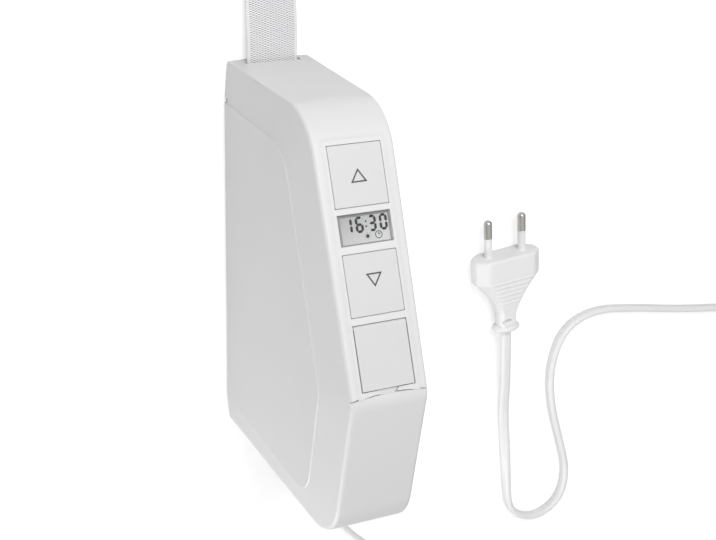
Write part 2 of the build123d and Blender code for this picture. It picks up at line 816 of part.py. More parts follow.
def guide_roller():
    y, z = roller_centre()
    roller = rod_x(y, z, roller_r, (-roller_half, roller_half))
    return roller - rod_x(y, z, roller_axle_r + run_fit, (-side_half, side_half))


def roller_axle():
    y, z = roller_centre()
    return rod_x(y, z, roller_axle_r, (-border_half + 0.1, border_half - 0.1))


def inlet_liner():
    """Rounded liner under the slot, which keeps the belt off the housing's edge."""
    y = (top_y - wall - liner_t, top_y - wall - crown - 0.1)
    z = (cover_z + 0.1, belt_depth + belt_t / 2 + inlet_front + 1.6)
    half = border_half - 1
    liner = slab((-half, half), y, z)
    return liner - slab((-inlet_half, inlet_half), (y[0] - 1, y[1] + 1),
                        (belt_depth - belt_t / 2 - 0.35, belt_depth + belt_t / 2 + inlet_front))


# lead

def cable_gland():
    """Strain relief: a tapered, ringed sleeve with a flange inside the wall."""
    step = (gland_len - gland_plain) / gland_rings
    profile = [(0, 0), (gland_r, 0), (gland_r, wall)]
    for i in range(gland_rings):
        radius = gland_r - (gland_r - gland_tip_r) * (i + 0.6) / gland_rings
        down = wall + gland_plain / 2 + i * step
        profile += [(radius, down), (radius - ring_groove, down + step * 0.3), (radius - ring_groove, down + step * 0.6),
                    (radius, down + step * 0.8)]
    profile += [(gland_tip_r, wall + gland_len), (0, wall + gland_len)]
    inside = Plane(origin=(gland_x, bottom_y + wall, gland_depth), x_dir=(1, 0, 0), z_dir=(0, 0, -1))
    sleeve = revolve(inside * make_face(Polyline(*profile, close=True)), Axis((gland_x, 0, gland_depth), (0, 1, 0)))
    flange = rod_y(gland_x, gland_depth, gland_flange_r, (bottom_y + wall, bottom_y + wall + gland_flange_t))
    above_cover = slab((gland_x - gland_flange_r, gland_x + gland_flange_r), (bottom_y, 0),
                       (cover_z + seat_gap, gland_depth + gland_flange_r))
    return sleeve + (flange & above_cover)


def coil_floor():
    """Height of the lower layer, which lies on the tie."""
    return cord_d / 2 + tie_t + tie_gap


def coil_edges():
    """Path of the coil, from the lead's side to the plug's side."""
    step = (cord_d + coil_gap) / 2
    reach = [coil_outer_r - step * i for i in range(coil_half_turns)]
    reach.append(reach[-1] - step - coil_throat)
    reach += [reach[-1]] + [reach[-1] + coil_throat + step * (i + 1) for i in range(coil_half_turns)]
    low = coil_floor()
    high = low + cord_d + coil_gap
    edges = []
    hand = 1
    for i, (r, q) in enumerate(zip(reach, reach[1:])):
        z0 = low if i <= coil_half_turns else high
        z1 = low if i < coil_half_turns else high
        start = (coil_x + hand * r, coil_y, z0)
        end = (coil_x - hand * q, coil_y, z1)
        middle = (coil_x + hand * (r - q) / 2, coil_y + hand * (r + q) / 2, (z0 + z1) / 2)
        edges.append(ThreePointArc(start, middle, end))
        hand = -hand
    edges[-1] = quarter(edges[-1])
    lead_in = Line((coil_x + coil_outer_r, coil_y - cord_d, low), edges[0] @ 0)
    run_out = Line(edges[-1] @ 1, edges[-1] @ 1 + Vector(-cord_d, 0, 0))
    return [lead_in] + edges + [run_out]


def quarter(arc):
    """First half of an arc."""
    return ThreePointArc(arc @ 0, arc @ 0.25, arc @ 0.5)


def coil_exit(beyond=0):
    """Where the lead leaves the coil, or a point straight on from there."""
    return tuple(coil_edges()[-1] @ 1 - Vector(beyond, 0, 0))


def plug_lead(before):
    """Where the lead meets the plug, or a point straight before it."""
    turn = math.radians(plug_bearing)
    return plug_x - before * math.cos(turn), plug_y - before * math.sin(turn), plug_mid


def corner_radii(points):
    """Largest tangent radius at each corner of a route."""
    radii = []
    for a, b, c in zip(points, points[1:], points[2:]):
        before = Vector(*b) - Vector(*a)
        after = Vector(*c) - Vector(*b)
        half = math.radians(before.get_angle(after)) / 2
        radii.append(0.45 * min(before.length, after.length) / math.tan(half))
    return radii


def cord_tube(name, points):
    """Round tube along straight runs and tangent arcs."""
    radii = corner_radii(points)
    path = FilletPolyline(*points, radius=radii)
    plane = Plane(origin=path @ 0, z_dir=path % 0)
    tube = sweep(plane * Circle(cord_d / 2), path=path)
    ideal = math.pi * cord_d ** 2 / 4 * path.length
    print(name, "length", round(path.length, 1), "volume share", round(tube.volume / ideal, 4),
          "radii", [round(r, 1) for r in radii])
    return tube


# route from the strain relief to the coil
lead_route = [
    (gland_x, bottom_y - gland_len, gland_depth),
    (gland_x, -109.5, gland_depth),
    (8.0, -118.8, 7.2),
    (18.0, -127.4, 5.4),
    (28.5, -138.7, 3.5),
    (38.5, -153.8, 2.7),
    (52.0, -169.0, 2.7),
    (72.0, -184.0, 2.7),
    (102.0, -198.0, 2.7),
    (142.0, -212.0, 2.7),
    (190.0, -228.0, 2.7),
    (238.0, -240.0, 2.7),
    (284.0, -249.0, 2.7),
    (322.0, -244.0, 2.7),
    (345.0, -219.0, 2.7),
    (353.0, -187.0, 2.8),
    (coil_x + coil_outer_r, -152.0, coil_floor()),
    (coil_x + coil_outer_r, coil_y - cord_d, coil_floor()),
]

# route from the coil to the plug
plug_route = [
    coil_exit(end_gap),
    coil_exit(12),
    (278.0, -75.0, 3.2),
    (240.0, -70.5, 2.7),
    (208.0, -64.5, 2.7),
    (180.0, -60.5, 2.7),
    (161.5, -69.0, 2.7),
    (156.0, -91.0, 2.7),
    (159.5, -113.0, 2.7),
    (166.5, -133.0, 2.7),
    (173.4, -154.5, 2.7),
    (169.9, -172.2, 2.7),
    (153.4, -179.5, 2.7),
    (137.9, -170.1, 2.7),
    (135.2, -150.0, 2.7),
    (133.0, -130.0, 2.7),
    (130.5, -111.0, 2.9),
    (128.5, -91.0, 4.6),
    plug_lead(14),
    plug_lead(0),
]


def cord_coil():
    """Stored length: half turns that spiral in, climb a layer in one half turn and spiral out on top."""
    edges = coil_edges()
    path = edges[0]
    for edge in edges[1:]:
        path += edge
    plane = Plane(origin=edges[0] @ 0, z_dir=edges[0] % 0)
    coil = sweep(plane * Circle(cord_d / 2), path=path)
    length = sum(edge.length for edge in edges)
    print("coil length", round(length, 1), "volume share", round(coil.volume / (math.pi * cord_d ** 2 / 4 * length), 4),
          "least gap between turns", round(least_gap(edges), 2))
    return coil


def least_gap(edges):
    """Smallest distance between surfaces of turns, from points every two millimetres."""
    points = []
    run = 0
    for edge in edges:
        count = max(2, int(edge.length / 2))
        points += [(run + edge.length * i / count, edge @ (i / count)) for i in range(count)]
        run += edge.length
    gap = min((p - q).length for i, (s, p) in enumerate(points) for t, q in points[i + 1:] if t - s > 6 * cord_d)
    return gap - cord_d


def coil_tie():
    """Flat band round the bundle on its near side."""
    spots = coil_crossings()
    reach = cord_d / 2 + tie_side_gap
    inner = (min(p[0] for p in spots) - reach, max(p[0] for p in spots) + reach)
    low, high = min(p[1] for p in spots) - cord_d / 2 - tie_gap, max(p[1] for p in spots) + cord_d / 2 + tie_gap
    x = (coil_x - tie_width / 2, coil_x + tie_width / 2)
    band = slab(x, (inner[0] - tie_t, inner[1] + tie_t), (low - tie_t, high + tie_t))
    band = fillet(band.edges().filter_by(Axis.X), 2.0)
    hole = slab((x[0] - 1, x[1] + 1), inner, (low, high))
    return band - fillet(hole.edges().filter_by(Axis.X), 1.2)


def coil_crossings():
    """Y and Z of the turns where the tie goes round them."""
    spots = []
    for edge in coil_edges()[1:]:
        middle = edge @ 0.5
        if middle.Y < coil_y - 5:
            spots.append((middle.Y, middle.Z))
    return spots


# plug

def plug_plane():
    """Local Z runs from the lead to the pins, local Y is up."""
    turn = math.radians(plug_bearing)
    return Plane(origin=(plug_x, plug_y, plug_mid), x_dir=(-math.sin(turn), math.cos(turn), 0),
                 z_dir=(math.cos(turn), math.sin(turn), 0))


def plug_section(at, width, thick):
    """Flat eight-cornered section across the plug."""
    bevel = plug_bevel * width / plug_width
    half, side = width / 2, plug_side * thick / plug_t / 2
    corners = [(half, -side), (half, side), (half - bevel, thick / 2), (bevel - half, thick / 2),
               (-half, side), (-half, -side), (bevel - half, -thick / 2), (half - bevel, -thick / 2)]
    return Pos(0, 0, at) * make_face(Polyline(*corners, close=True))


def taper_width(share):
    """Width along the taper: it flares from the neck to the head."""
    return neck_width + (plug_width - neck_width) * share ** 1.5


def taper_thickness(share):
    return neck_t + (plug_t - neck_t) * share


def plug_body():
    """Moulded plug: collar, neck, flared taper with grip bars, and the flat head."""
    neck_end = collar_len + plug_neck
    head_start = neck_end + plug_taper
    shares = [0, 0.25, 0.5, 0.75, 1]
    sections = [plug_section(collar_len * 0.5, neck_width, neck_t)]
    sections += [plug_section(neck_end + plug_taper * t, taper_width(t), taper_thickness(t)) for t in shares]
    sections += [plug_section(head_start + plug_head, plug_width, plug_t)]
    body = loft(sections, ruled=True)
    for i in range(grip_count):
        at = head_start + 1 - (i + 0.5) * grip_pitch
        share = (at - neck_end) / plug_taper
        half = taper_width(min(share, 1)) / 2 * (1 - 2 * plug_bevel / plug_width) - 0.4
        reach = taper_thickness(min(share, 1)) / 2 + grip_proud
        body += Pos(0, 0, at) * Box(2 * half, 2 * reach, grip_t)
    collar = extrude(Ellipse(collar_half, collar_half_t), collar_len)
    body += fillet(collar.edges(), collar_len * 0.35)
    for hand in (-1, 1):
        at = head_start + plug_head - pin_root / 2
        body -= Pos(hand * pin_pitch / 2, 0, at) * Cylinder(pin_core_r, pin_root)
    return plug_plane() * body


def plug_head_end():
    return collar_len + plug_neck + plug_taper + plug_head


def plug_pins():
    """Round pins: a thin core in the sleeve and a full-size tip."""
    base = plug_head_end()
    tip = pin_len - sleeve_len
    pins = []
    for hand in (-1, 1):
        core = Pos(0, 0, base + (sleeve_len - pin_root) / 2) * Cylinder(pin_core_r, sleeve_len + pin_root)
        end = Pos(0, 0, base + sleeve_len + tip / 2) * Cylinder(pin_r, tip)
        end = fillet(end.edges().filter_by(GeomType.CIRCLE).sort_by(Axis.Z)[-1], pin_r * 0.85)
        pins.append(plug_plane() * Pos(hand * pin_pitch / 2, 0, 0) * (core + end))
    return Compound(children=pins)


def plug_sleeves():
    """Insulating sleeves on the pins."""
    at = plug_head_end() + sleeve_len / 2
    tube = Cylinder(sleeve_r, sleeve_len) - Cylinder(pin_core_r, sleeve_len)
    return Compound(children=[plug_plane() * Pos(hand * pin_pitch / 2, 0, at) * tube for hand in (-1, 1)])


form = housing_body()


def belt_winder():
    """Every node by name."""
    nodes = {
        "wall_bracket": wall_bracket(),
        "hinge_pin": hinge_pin(),
        "housing_hood": housing_hood(),
        "rear_cover": rear_cover(),
        "case_screws": case_screws(),
        "front_panel": front_panel(),
        "up_key": key_cap(up_key_start),
        "down_key": key_cap(down_key_start),
        "service_flap": service_flap(),
        "display_lens": display_lens(),
        "display_cell": display_cell(),
        "display_holder": display_holder(),
        "control_board": control_board(),
        "key_switches": key_switches(),
        "mains_board": mains_board(),
        "mains_parts": mains_parts(),
        "reel_core": reel_core(),
        "reel_gear": reel_gear(),
        "reel_axle": reel_axle(),
        "belt_winding": belt_winding(),
        "belt_free": belt_free(),
        "drive_pinion": drive_pinion(),
        "gearbox": gearbox(),
        "drive_motor": drive_motor(),
        "guide_roller": guide_roller(),
        "roller_axle": roller_axle(),
        "inlet_liner": inlet_liner(),
        "cable_gland": cable_gland(),
        "cord_lead": cord_tube("lead", lead_route),
        "cord_coil": cord_coil(),
        "cord_run": cord_tube("run to the plug", plug_route),
        "coil_tie": coil_tie(),
        "plug_body": plug_body(),
        "plug_pins": plug_pins(),
        "plug_sleeves": plug_sleeves(),
    }
    for number, place in enumerate(set_key_places(), 1):
        nodes[f"setting_key_{number}"] = setting_key(*place)
    return nodes


os.makedirs("parts", exist_ok=True)
for node, shape in belt_winder().items():
    export_step(shape, f"parts/{node}.step")
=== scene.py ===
import json
import math

import bpy
import numpy as np
from mathutils import Matrix, Vector


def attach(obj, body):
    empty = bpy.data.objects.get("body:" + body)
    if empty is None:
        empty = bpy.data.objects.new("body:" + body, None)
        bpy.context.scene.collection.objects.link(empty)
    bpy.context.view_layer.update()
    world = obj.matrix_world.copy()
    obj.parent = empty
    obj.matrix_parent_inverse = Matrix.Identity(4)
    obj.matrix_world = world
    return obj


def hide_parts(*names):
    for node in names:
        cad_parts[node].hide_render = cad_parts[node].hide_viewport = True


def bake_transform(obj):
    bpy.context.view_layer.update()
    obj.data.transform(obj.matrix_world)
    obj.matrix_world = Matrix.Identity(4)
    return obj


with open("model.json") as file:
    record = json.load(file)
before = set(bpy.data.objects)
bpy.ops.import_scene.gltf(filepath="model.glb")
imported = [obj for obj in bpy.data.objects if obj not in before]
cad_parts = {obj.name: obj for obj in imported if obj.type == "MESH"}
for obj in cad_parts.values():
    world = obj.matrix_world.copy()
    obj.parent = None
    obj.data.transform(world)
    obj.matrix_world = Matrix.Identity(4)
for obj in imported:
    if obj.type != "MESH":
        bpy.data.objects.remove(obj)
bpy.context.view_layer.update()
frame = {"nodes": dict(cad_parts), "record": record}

# Electric belt winder for a roller shutter, dressed for the photograph.
# Lengths in the dictionaries are millimetres, as in the part's source; mm turns them to metres.
mm = 0.001
nodes = frame["nodes"]
print("frame loaded:", len(nodes), "nodes")


# the housing's front, as in the part's source

housing = {"topY": 83.6, "topDepth": 76.4, "chinY": -19.9, "chinDepth": 120.2}
lean = math.atan2(housing["chinDepth"] - housing["topDepth"], housing["topY"] - housing["chinY"])
displaySizes = {"start": 42.0, "height": 11.7, "width": 21.9, "cellDepth": 2.1}


def onFront(x, down, depth):
    # a point on the front: along the slope from the top corner, then inwards square to it; metres
    y = housing["topY"] - down * math.cos(lean) - depth * math.sin(lean)
    z = housing["topDepth"] + down * math.sin(lean) - depth * math.cos(lean)
    return np.stack(np.broadcast_arrays(x, y, z), -1) * mm


# colours and shader nodes

def linear(hexText):
    # sRGB hex to linear light, the two-part sRGB curve
    values = [int(hexText[i:i + 2], 16) / 255 for i in (1, 3, 5)]
    return [v / 12.92 if v <= 0.04045 else ((v + 0.055) / 1.055) ** 2.4 for v in values] + [1.0]


def setNode(tree, node, settings):
    # each setting is a node attribute, an input's value, or another node's output to link to that input
    for key, value in settings.items():
        if isinstance(value, bpy.types.NodeSocket):
            tree.links.new(value, node.inputs[key])
        elif isinstance(key, str) and hasattr(node, key):
            setattr(node, key, value)
        else:
            node.inputs[key].default_value = value


def addNode(tree, kind, settings=None):
    node = tree.nodes.new(kind)
    setNode(tree, node, settings or {})
    return node


def calc(tree, operation, *terms):
    # one maths node; each term is a number or another node's output
    return addNode(tree, "ShaderNodeMath", {"operation": operation, **dict(enumerate(terms))}).outputs[0]


def ramp(tree, value, start, end, low=0.0, high=1.0):
    # straight from low to high while the value goes from start to end, and level outside
    limits = {"From Min": start, "From Max": end, "To Min": low, "To Max": high}
    return addNode(tree, "ShaderNodeMapRange", {"Value": value, **limits}).outputs["Result"]


def noise(tree, place, size, detail):
    # soft clouds, with features of about the given size in millimetres
    settings = {"Vector": place, "Scale": 1 / (size * mm), "Detail": detail}
    return addNode(tree, "ShaderNodeTexNoise", settings).outputs["Fac"]


def mixValues(tree, share, first, second):
    return addNode(tree, "ShaderNodeMix", {"data_type": "FLOAT", 0: share, 2: first, 3: second}).outputs[0]


def mixTones(tree, share, first, second):
    settings = {"data_type": "RGBA", 0: share, 6: linear(first), 7: linear(second)}
    return addNode(tree, "ShaderNodeMix", settings).outputs[2]


def bumpNormal(tree, height, strength, depth):
    # the surface normal that a height gives, with the depth of the relief in millimetres
    settings = {"Height": height, "Strength": strength, "Distance": depth * mm}
    return addNode(tree, "ShaderNodeBump", settings).outputs["Normal"]


def objectPlace(tree):
    return addNode(tree, "ShaderNodeTexCoord").outputs["Object"]


def splitPlace(tree, place):
    return addNode(tree, "ShaderNodeSeparateXYZ", {0: place}).outputs


def emptyTree(owner):
    # the node tree of a material or a world, cleared of its first nodes
    owner.use_nodes = True
    owner.node_tree.nodes.clear()
    return owner.node_tree


def newMaterial(name):
    material = bpy.data.materials.new(name)
    tree = emptyTree(material)
    shader = addNode(tree, "ShaderNodeBsdfPrincipled")
    addNode(tree, "ShaderNodeOutputMaterial", {"Surface": shader.outputs["BSDF"]})
    return material, tree, shader


# finishes

# Tones are sRGB; cloud and grain are feature sizes in millimetres. Moulded plastics carry a spark-eroded
# grain of about 0.1 mm, drawn at 0.3 mm or more because finer grain would not show in the render.
looks = {
    # ABS, injection moulded: even satin, faint grain
    "housing_white": dict(name="absMouldedSatin", tones=("#e5e5e5", "#e8e8e8"), rough=0.42, cloud=30,
                          grain=0.35, bump=0.06, ior=1.53, soft=0.25),
    # ABS keys from a polished mould: a little smoother than the housing
    "key_white": dict(name="absMouldedSmooth", tones=("#dddddd", "#dfdfdf"), rough=0.36, cloud=22,
                      grain=0.3, bump=0.035, ior=1.53, soft=0.25),
    # steel sheet, zinc plated: soft metal sheen with rolling marks along the strip
    "zinc_steel": dict(name="steelZincPlated", tones=("#b4b6b8", "#c6c8c9"), rough=0.34, cloud=6,
                       grain=0.5, bump=0.12, metal=1.0, stretch=(1, 0.1, 1)),
    # deep-drawn steel can: fine draw lines along its length
    "motor_steel": dict(name="steelDrawn", tones=("#a2a4a8", "#b3b5b8"), rough=0.28, cloud=9,
                        grain=0.4, bump=0.1, metal=1.0, stretch=(1, 0.08, 1)),
    # acetal, injection moulded: milky and waxy
    "gear_plastic": dict(name="acetalMoulded", tones=("#e7e4da", "#eceade"), rough=0.38, cloud=12,
                         grain=0.3, bump=0.05, ior=1.48, soft=0.1),
    # glass-filled nylon, injection moulded: dark with a dry grain
    "dark_plastic": dict(name="nylonGlassFilled", tones=("#1c1c1f", "#262629"), rough=0.5, cloud=5,
                         grain=0.3, bump=0.18, ior=1.53),
    # flexible PVC, extruded: soft white with a dull gloss
    "lead_white": dict(name="pvcExtruded", tones=("#f6f6f6", "#f8f8f8"), rough=0.45, cloud=40,
                       grain=0.6, bump=0.04, ior=1.53, soft=0.05),
    # flexible PVC, moulded over the pins: the same white, a finer skin
    "plug_white": dict(name="pvcMoulded", tones=("#f5f5f5", "#f8f8f8"), rough=0.4, cloud=15,
                       grain=0.35, bump=0.05, ior=1.53, soft=0.05),
    # brass, nickel plated and polished: bright, slightly warm metal
    "pin_nickel": dict(name="brassNickelPlated", tones=("#e0dedb", "#e6e5e2"), rough=0.14, cloud=3,
                       grain=0.3, bump=0.02, metal=1.0),
    # nylon strap, moulded: pale and slightly see-through
    "tie_white": dict(name="nylonMoulded", tones=("#e2e2dd", "#e9e9e4"), rough=0.42, cloud=8,
                      grain=0.4, bump=0.05, ior=1.53, soft=0.1),
}
surface = {"glossSpread": 0.04, "grainDepth": 0.05, "softDepth": 1.5}


def grainedMaterial(look):
    # two close tones in soft clouds, a fine surface grain in the bump, and a little spread in the gloss
    material, tree, shader = newMaterial(look["name"])
    place = objectPlace(tree)
    clouds = noise(tree, place, look["cloud"], 3.0)
    stretch = addNode(tree, "ShaderNodeMapping", {"Vector": place, "Scale": look.get("stretch", (1, 1, 1))})
    grain = noise(tree, stretch.outputs["Vector"], look["grain"], 2.0)
    smooth, dull = look["rough"] - surface["glossSpread"], look["rough"] + surface["glossSpread"]
    setNode(tree, shader, {"Base Color": mixTones(tree, clouds, *look["tones"]),
                           "Roughness": ramp(tree, clouds, 0.0, 1.0, smooth, dull),
                           "Normal": bumpNormal(tree, grain, look["bump"], surface["grainDepth"]),
                           "Metallic": look.get("metal", 0.0)})
    if "ior" in look:
        setNode(tree, shader, {"IOR": look["ior"]})
    if "soft" in look:
        setNode(tree, shader, {"Subsurface Weight": look["soft"], "Subsurface Radius": (1.0, 1.0, 1.0),
                               "Subsurface Scale": surface["softDepth"] * mm})
    return material


# Boards are fibreglass laminate under green solder mask: the tracks show as a slightly raised, lighter
# grid, whose lines run one way or the other from patch to patch.
boardLook = {"mask": "#0d3b1f", "track": "#1c6136", "pitch": 2.54, "trackShare": 0.16, "patch": 7,
             "bump": 0.3, "trackDepth": 0.04, "rough": 0.3}


def boardMaterial():
    material, tree, shader = newMaterial("laminateSolderMask")
    place = objectPlace(tree)
    steps = addNode(tree, "ShaderNodeVectorMath",
                    {"operation": "SCALE", 0: place, "Scale": 1 / (boardLook["pitch"] * mm)})
    split = splitPlace(tree, steps.outputs[0])
    lines = []
    for axis in ("X", "Y"):
        within = calc(tree, "FRACT", split[axis])
        lines.append(calc(tree, "LESS_THAN", within, boardLook["trackShare"]))
    patches = calc(tree, "GREATER_THAN", noise(tree, place, boardLook["patch"], 0.0), 0.5)
    tracks = mixValues(tree, patches, *lines)
    setNode(tree, shader, {"Base Color": mixTones(tree, tracks, boardLook["mask"], boardLook["track"]),
                           "Normal": bumpNormal(tree, tracks, boardLook["bump"], boardLook["trackDepth"]),
                           "Roughness": boardLook["rough"]})
    return material


# Webbing is woven polyester: pale threads in columns, each half a thread further along than its
# neighbour, with painted shade darkening the small gaps between them. Threads are 0.93 mm apart along the
# belt and 1.24 mm across it. The selvedge at each side has short ribs instead.
weaveLook = {"thread": "#f4f4f5", "gap": "#9a9a9d", "along": 0.93, "across": 1.24, "wobble": 0.5,
             "wobbleScale": 0.35, "selvedge": 1.3, "rib": 0.6, "ribHeight": 0.3, "width": 22.4,
             "gapHeight": -0.75, "threadHeight": 0.05, "arch": 0.6, "bump": 0.55, "depth": 0.15,
             "rough": 0.75, "sheen": 0.15}


def webbingMaterial():
    # the belt's UV map holds millimetres: U across from one edge, V along. Height is a sine along the
    # belt times an arch across each column; near the edges it is a sine along the belt alone
    material, tree, shader = newMaterial("polyesterWebbing")
    flat = addNode(tree, "ShaderNodeUVMap", {"uv_map": "weave"}).outputs["UV"]
    split = splitPlace(tree, flat)
    across, along = split["X"], split["Y"]
    column = calc(tree, "DIVIDE", across, weaveLook["across"])
    halfSteps = calc(tree, "MULTIPLY", calc(tree, "FLOOR", column), 0.5)
    rise = calc(tree, "ADD", calc(tree, "DIVIDE", along, weaveLook["along"]), halfSteps)
    unevenness = {"Vector": flat, "Scale": weaveLook["wobbleScale"], "Detail": 1.0}
    wobble = addNode(tree, "ShaderNodeTexNoise", unevenness).outputs["Fac"]
    rise = calc(tree, "ADD", rise, calc(tree, "MULTIPLY", wobble, weaveLook["wobble"]))
    threads = calc(tree, "SINE", calc(tree, "MULTIPLY", rise, 2 * math.pi))
    arch = calc(tree, "SINE", calc(tree, "MULTIPLY", calc(tree, "FRACT", column), math.pi))
    arch = calc(tree, "ADD", calc(tree, "MULTIPLY", arch, weaveLook["arch"]), 1 - weaveLook["arch"])
    height = calc(tree, "MULTIPLY", threads, arch)
    middle = weaveLook["width"] / 2
    fromEdge = calc(tree, "SUBTRACT", middle, calc(tree, "ABSOLUTE", calc(tree, "SUBTRACT", across, middle)))
    inside = ramp(tree, fromEdge, weaveLook["selvedge"] * 0.7, weaveLook["selvedge"])
    ribs = calc(tree, "SINE", calc(tree, "MULTIPLY", along, 2 * math.pi / weaveLook["rib"]))
    height = mixValues(tree, inside, calc(tree, "MULTIPLY", ribs, weaveLook["ribHeight"]), height)
    # painted shade: the tone follows the height, darker in the low gaps between threads and between ribs
    shade = ramp(tree, height, weaveLook["gapHeight"], weaveLook["threadHeight"])
    setNode(tree, shader, {"Base Color": mixTones(tree, shade, weaveLook["gap"], weaveLook["thread"]),
                           "Normal": bumpNormal(tree, height, weaveLook["bump"], weaveLook["depth"]),
                           "Roughness": weaveLook["rough"], "Sheen Weight": weaveLook["sheen"]})
    return material


# The display is a reflective liquid crystal cell behind a clear window: grey, with painted shade of the
# window's recess that leaves it darker to the left and above and lighter to the right and below, under a
# film whose fine streaks show only close to.
cellLook = {"dark": "#a6a7a6", "pale": "#dadbda", "half": 11, "sideways": 0.45, "recessShadeDownwards": 0.55,
            "depth": 2, "film": 0.8, "streaks": 0.14, "rough": 0.35}


def cellMaterial():
    material, tree, shader = newMaterial("liquidCrystalCell")
    place = objectPlace(tree)
    split = splitPlace(tree, place)
    half = cellLook["half"] * mm
    # painted shade of the window's recess: the cell's tone darkens towards the left and the top
    sideways = ramp(tree, split["X"], -half, half, 0.0, cellLook["sideways"])
    ends = (displaySizes["start"], displaySizes["start"] + displaySizes["height"])
    top, foot = [float(onFront(0, down, cellLook["depth"])[1]) for down in ends]
    recessShadeDownwards = ramp(tree, split["Y"], top, foot, 0.0, cellLook["recessShadeDownwards"])
    film = noise(tree, place, cellLook["film"], 2.0)
    streaks = calc(tree, "MULTIPLY_ADD", film, cellLook["streaks"], -cellLook["streaks"] / 2)
    share = calc(tree, "ADD", calc(tree, "ADD", sideways, recessShadeDownwards), streaks)
    setNode(tree, shader, {"Base Color": mixTones(tree, share, cellLook["dark"], cellLook["pale"]),
                           "Roughness": cellLook["rough"]})
    return material


lensLook = {"tint": "#eef0ef", "gloss": (0.03, 0.07), "haze": 4, "cover": 0.02, "ior": 1.49}


def lensMaterial():
    # acrylic window, injection moulded and polished: nearly unseen, with a faint tint and clear reflections
    material, tree, shader = newMaterial("acrylicPolished")
    haze = noise(tree, objectPlace(tree), lensLook["haze"], 1.0)
    setNode(tree, shader, {"Base Color": linear(lensLook["tint"]), "Alpha": lensLook["cover"],
                           "Roughness": ramp(tree, haze, 0.0, 1.0, *lensLook["gloss"]),
                           "IOR": lensLook["ior"]})
    return material


inkLook = {"speckle": 0.5, "rough": 0.6}


def inkMaterial(name, dark, light):
    # pad-printed ink, a darkened crystal segment, and the display's border with its painted recess shade:
    # matt, with slight unevenness in the tone
    material, tree, shader = newMaterial(name)
    speckle = noise(tree, objectPlace(tree), inkLook["speckle"], 2.0)
    setNode(tree, shader, {"Base Color": mixTones(tree, speckle, dark, light),
                           "Roughness": inkLook["rough"]})
    return material


finishes = {slot: grainedMaterial(look) for slot, look in looks.items()}
finishes["board_green"] = boardMaterial()
finishes["belt_grey"] = webbingMaterial()
finishes["display_grey"] = cellMaterial()
finishes["clear_lens"] = lensMaterial()
signInk = inkMaterial("inkPadPrinted", "#4c4c4e", "#58585a")
segmentInk = inkMaterial("crystalSegmentDark", "#060607", "#0c0c0d")
# grey of the cell's printed border and painted shade of the display's recess
borderShadeInk = inkMaterial("cellBorderPrintAndShade", "#8c8d8c", "#969796")
for row in frame["record"]["subparts"]:
    node = nodes[row["node"]]
    node.data.materials.clear()
    node.data.materials.append(finishes[row["material_slot"]])
print("finishes made:", len(finishes))


# camera: the photograph's viewpoint, fitted with the outline; image taken as 716 x 540

viewpoint = {"eye": (-203.691, 202.203, 491.109), "right": (0.91139, 0.01569, 0.41124),
             "up": (0.14110, 0.92679, -0.34807), "back": (-0.38660, 0.37525, 0.84245),
             "focalPixels": 1284.0, "centre": (310.9, 271.05), "frameSize": (716, 540), "sensor": 36.0,
             "nearest": 10.0}


def makeCamera():
    data = bpy.data.cameras.new("photoCamera")
    width, height = viewpoint["frameSize"]
    data.sensor_width = viewpoint["sensor"]
    data.lens = viewpoint["focalPixels"] / width * viewpoint["sensor"]
    data.shift_x = (width / 2 - viewpoint["centre"][0]) / width
    data.shift_y = (viewpoint["centre"][1] - height / 2) / width
    data.clip_start = viewpoint["nearest"] * mm
    camera = bpy.data.objects.new("photoCamera", data)
    turn = Matrix([viewpoint[k] for k in ("right", "up", "back")]).transposed()
    camera.matrix_world = Matrix.Translation(Vector(viewpoint["eye"]) * mm) @ turn.to_4x4()
    bpy.context.scene.collection.objects.link(camera)
    bpy.context.scene.camera = camera


makeCamera()
print("camera set")


# meshes from arrays

def makePiece(name, points, faces, material, smooth=True):
    mesh = bpy.data.meshes.new(name)
    mesh.from_pydata(np.asarray(points, float).reshape(-1, 3).tolist(), [], faces)
    mesh.polygons.foreach_set("use_smooth", np.full(len(mesh.polygons), smooth))
    mesh.materials.append(material)
    mesh.update()
    piece = bpy.data.objects.new(name, mesh)
    bpy.context.scene.collection.objects.link(piece)
    return piece


def ringFaces(rows, ring):
    # quads between neighbouring rows of a closed ring, and triangles to one extra point at each end
    i, j = np.meshgrid(np.arange(rows - 1), np.arange(ring), indexing="ij")
    k = (j + 1) % ring
    quads = np.stack([i * ring + j, i * ring + k, (i + 1) * ring + k, (i + 1) * ring + j], -1)
    around = np.arange(ring)
    after = (around + 1) % ring
    base = (rows - 1) * ring
    starts = np.stack([after, around, np.full(ring, rows * ring)], -1)
    ends = np.stack([base + around, base + after, np.full(ring, rows * ring + 1)], -1)
    return quads.reshape(-1, 4).tolist() + starts.tolist() + ends.tolist()


def sweepSection(path, side, up, section):
    # every path point plus the section's two coordinates along its side and up directions, closed at
    # both ends; there is one section for all rows, or one each
    rows = path[:, None] + section[..., :1] * side[:, None] + section[..., 1:] * up[:, None]
    points = np.concatenate([rows.reshape(-1, 3), path[:1], path[-1:]])
    return points, ringFaces(len(path), section.shape[-2])


def directions(path):
    # unit tangents by central differences
    tangent = np.gradient(path, axis=0)
    return tangent / np.linalg.norm(tangent, axis=1, keepdims=True)


def travelled(path):
    # the distance along a path at each of its points
    return np.concatenate([[0], np.cumsum(np.linalg.norm(np.diff(path, axis=0), axis=1))])


def between(values, limits):
    # 0 up to the first limit, 1 from the second, straight between them
    low, high = limits
    return np.clip((values - low) / (high - low), 0, 1)


def ringAngles(count):
    return np.arange(count) / count * 2 * math.pi


def signedPower(values, power):
    return np.sign(values) * np.abs(values) ** power


# lead: route, stored coil and route to the plug, as in the part's source

